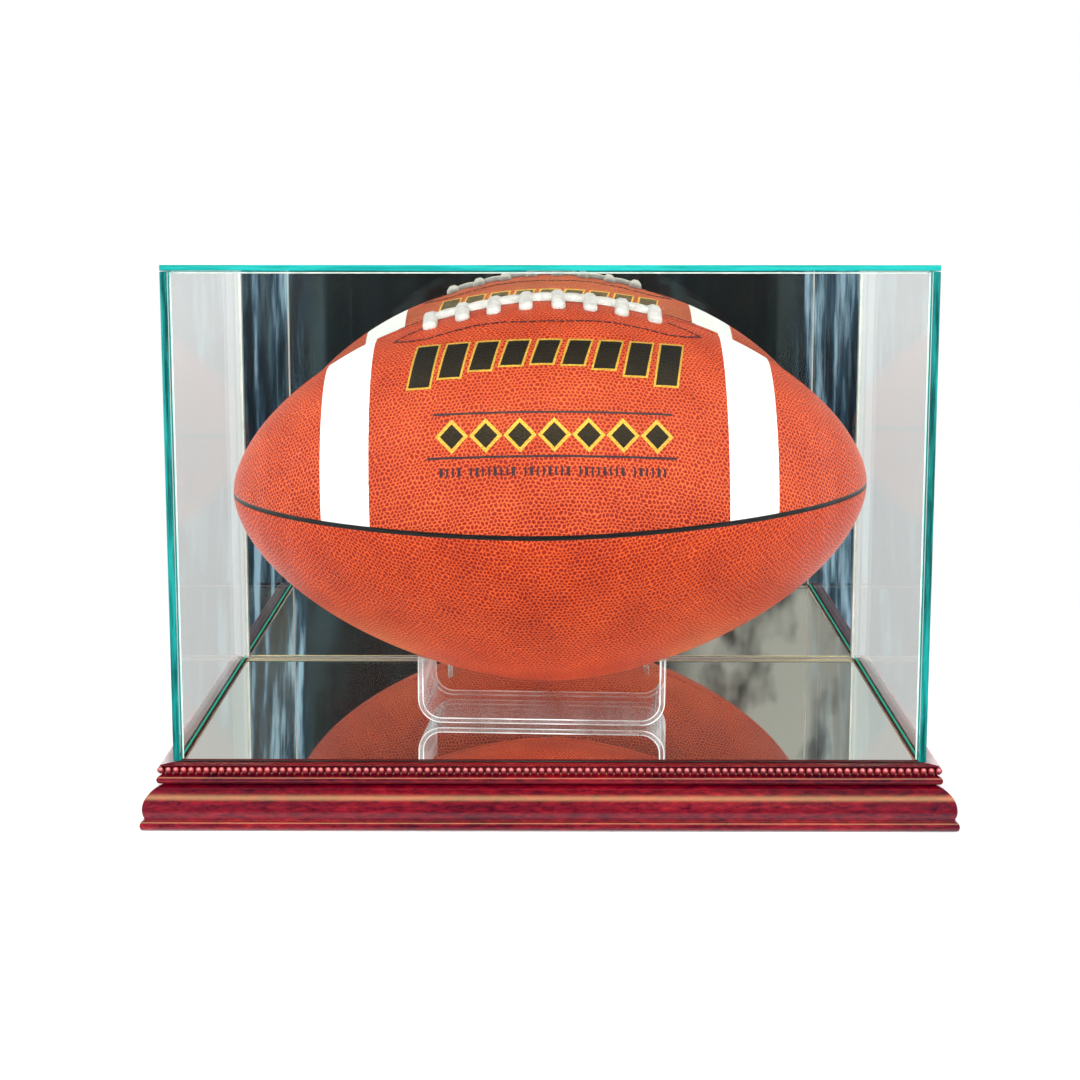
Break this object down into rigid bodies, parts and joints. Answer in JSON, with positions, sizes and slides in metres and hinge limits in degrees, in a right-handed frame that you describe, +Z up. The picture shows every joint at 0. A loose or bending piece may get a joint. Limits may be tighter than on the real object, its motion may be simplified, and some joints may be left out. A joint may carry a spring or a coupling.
{
  "type": "football display case",
  "caption": "Clear glass box with a mirrored back over a moulded lacquered wood base with a mirrored floor; a U-shaped clear cradle holds a laced oval ball.",
  "frame": {"origin": "centre of the base's footprint, on the surface the base stands on", "axes": "+X along the case's width to the viewer's right, +Y from the clear front to the mirrored back, +Z up"},
  "size_m": [0.3334, 0.2224, 0.2284],
  "materials": {
    "lacquer": "high gloss dark cherry lacquer",
    "board": "raw fibreboard",
    "floor_mirror": "silvered glass",
    "back_mirror": "silvered glass",
    "glass": "clear float glass with green-blue edges",
    "silicone": "clear silicone",
    "acrylic": "clear polished acrylic",
    "leather": "pebbled",
    "bladder": "matte",
    "valve": "matte",
    "lace": "grained white vinyl"
  },
  "bodies": {
    "base": {"moulding_front": "lacquer", "moulding_back": "lacquer", "moulding_left": "lacquer", "moulding_right": "lacquer", "base_board": "board", "base_mirror": "floor_mirror", "cradle": "acrylic"},
    "cover": {"pane_front": "glass", "pane_left": "glass", "pane_right": "glass", "pane_top": "glass", "mirror_back": "back_mirror", "seal_front_left": "silicone", "seal_front_right": "silicone", "seal_back_left": "silicone", "seal_back_right": "silicone", "seal_top_front": "silicone", "seal_top_back": "silicone", "seal_top_left": "silicone", "seal_top_right": "silicone"},
    "football": {"football_panel_front_top": "leather", "football_panel_back_top": "leather", "football_panel_front_bottom": "leather", "football_panel_back_bottom": "leather", "football_bladder": "bladder", "football_valve": "valve", "football_lace": "lace"}
  },
  "joints": [
    {"name": "cover_lift", "type": "slide", "parent": "base", "child": "cover", "axis": [0, 0, 1], "range_m": [0, 0.25]},
    {"name": "football_roll", "type": "hinge", "parent": "base", "child": "football", "pos_m": [0, -0.007, 0.1267], "axis": [0.9998, 0, 0.0175], "range_deg": [-135, 125]}
  ]
}
